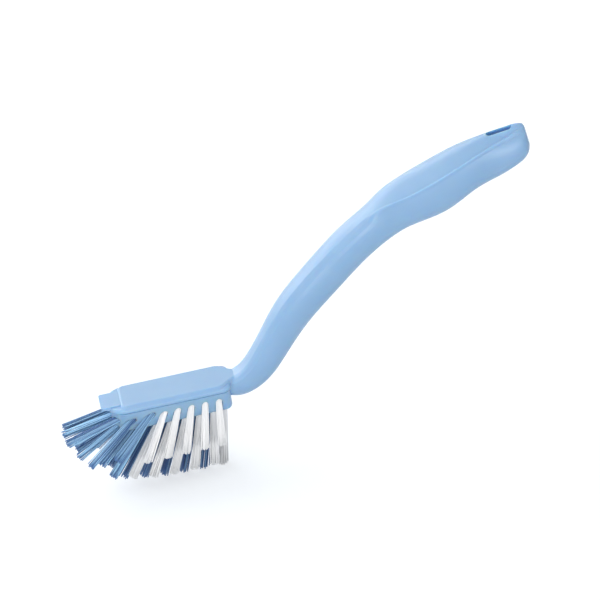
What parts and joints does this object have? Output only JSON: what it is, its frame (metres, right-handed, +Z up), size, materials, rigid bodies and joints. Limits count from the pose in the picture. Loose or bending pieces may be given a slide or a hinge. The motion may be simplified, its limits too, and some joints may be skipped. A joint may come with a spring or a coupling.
{
  "type": "dish brush",
  "caption": "Dish brush with a curved one-piece plastic handle, a scraper lip on the head, white and blue filament tufts fanned round the head, and a hang slot in the grip.",
  "frame": {"origin": "centre of the bounding box's bottom, level with the lowest filament tips", "axes": "+X from the scraper lip to the handle's end, +Y across the head, +Z up from the tips to the deck"},
  "size_m": [0.286, 0.0526, 0.1708],
  "materials": {
    "handle_plastic": "light blue satin polypropylene moulding",
    "white_filament": "white polyester filament, satin",
    "blue_filament": "blue polyester filament, satin",
    "anchor_metal": "flat brass wire, bright"
  },
  "bodies": {
    "root": {"handle": "handle_plastic", "tuft_anchors": "anchor_metal", "tuft_outer_left_1": "white_filament", "tuft_outer_left_2": "white_filament", "tuft_outer_left_3": "white_filament", "tuft_outer_left_4": "white_filament", "tuft_outer_left_5": "white_filament", "tuft_inner_left_1": "white_filament", "tuft_inner_left_2": "white_filament", "tuft_inner_left_3": "white_filament", "tuft_inner_left_4": "white_filament", "tuft_inner_left_5": "white_filament", "tuft_inner_left_6": "blue_filament", "tuft_inner_left_7": "blue_filament", "tuft_outer_right_1": "white_filament", "tuft_outer_right_2": "white_filament", "tuft_outer_right_3": "white_filament", "tuft_outer_right_4": "white_filament", "tuft_outer_right_5": "white_filament", "tuft_inner_right_1": "white_filament", "tuft_inner_right_2": "white_filament", "tuft_inner_right_3": "white_filament", "tuft_inner_right_4": "white_filament", "tuft_inner_right_5": "white_filament", "tuft_inner_right_6": "blue_filament", "tuft_inner_right_7": "blue_filament", "tuft_centre_1": "white_filament", "tuft_centre_2": "blue_filament", "tuft_centre_3": "blue_filament", "tuft_centre_4": "blue_filament", "tuft_centre_5": "blue_filament", "tuft_centre_6": "blue_filament", "tuft_centre_7": "blue_filament", "tuft_nose": "blue_filament", "tuft_nose_lower": "blue_filament", "tuft_bow_front_left": "blue_filament", "tuft_bow_front_right": "blue_filament", "tuft_bow_lower_left": "blue_filament", "tuft_bow_lower_right": "blue_filament", "tuft_bow_side_left": "blue_filament", "tuft_bow_side_right": "blue_filament", "tuft_bow_rear_left": "blue_filament", "tuft_bow_rear_right": "blue_filament"}
  },
  "joints": []
}
